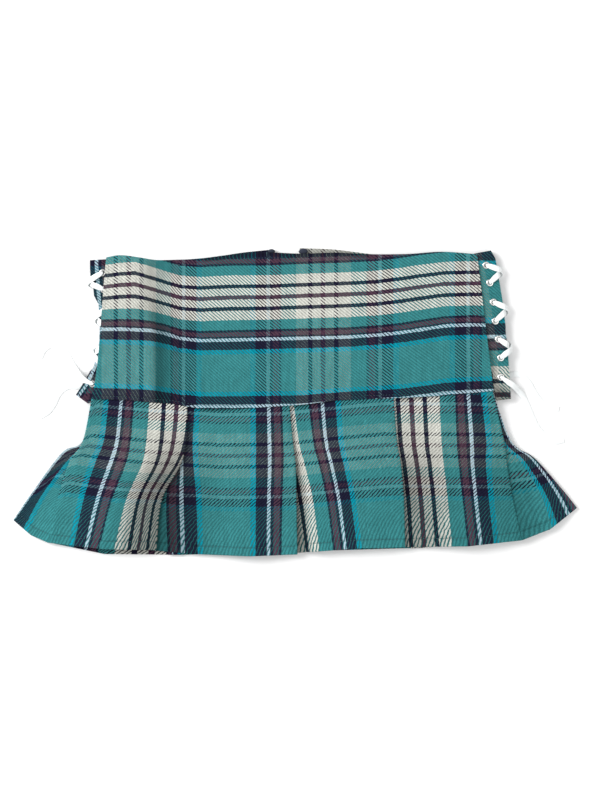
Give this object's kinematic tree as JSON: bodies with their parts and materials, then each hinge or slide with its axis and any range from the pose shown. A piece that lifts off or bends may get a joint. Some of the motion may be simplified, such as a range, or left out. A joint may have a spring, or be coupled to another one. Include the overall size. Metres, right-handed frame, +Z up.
{
  "type": "tartan skirt laid flat",
  "caption": "Low-rise pleated micro mini skirt in teal tartan twill, laid flat, with a wide yoke, a flared pleated flounce and ribbon lacing through eyelets at both sides.",
  "frame": {"origin": "centre of the skirt's outline, without its laces, on the surface it lies on", "axes": "+X across the skirt to the right as seen from above, +Y from the hem to the waist, +Z up from the surface"},
  "size_m": [0.5636, 0.3074, 0.0112],
  "materials": {
    "yoke_cloth": "brushed tartan twill",
    "flounce_cloth": "brushed tartan twill",
    "strip_cloth": "brushed tartan twill",
    "eyelet": "satin",
    "lace": "white woven ribbon"
  },
  "bodies": {
    "root": {"yoke_front": "yoke_cloth", "yoke_back_left": "yoke_cloth", "yoke_back_right": "yoke_cloth", "flounce_front": "flounce_cloth", "flounce_back": "flounce_cloth", "strip_front_left": "strip_cloth", "strip_front_right": "strip_cloth", "strip_back_left": "strip_cloth", "strip_back_right": "strip_cloth", "eyelet_front_left_1": "eyelet", "eyelet_front_left_2": "eyelet", "eyelet_front_left_3": "eyelet", "eyelet_front_left_4": "eyelet", "eyelet_front_left_5": "eyelet", "eyelet_front_left_6": "eyelet", "eyelet_front_left_7": "eyelet", "eyelet_front_right_1": "eyelet", "eyelet_front_right_2": "eyelet", "eyelet_front_right_3": "eyelet", "eyelet_front_right_4": "eyelet", "eyelet_front_right_5": "eyelet", "eyelet_front_right_6": "eyelet", "eyelet_front_right_7": "eyelet", "eyelet_back_left_1": "eyelet", "eyelet_back_left_2": "eyelet", "eyelet_back_left_3": "eyelet", "eyelet_back_left_4": "eyelet", "eyelet_back_left_5": "eyelet", "eyelet_back_left_6": "eyelet", "eyelet_back_left_7": "eyelet", "eyelet_back_right_1": "eyelet", "eyelet_back_right_2": "eyelet", "eyelet_back_right_3": "eyelet", "eyelet_back_right_4": "eyelet", "eyelet_back_right_5": "eyelet", "eyelet_back_right_6": "eyelet", "eyelet_back_right_7": "eyelet", "lace_left": "lace", "lace_right": "lace"}
  },
  "joints": []
}
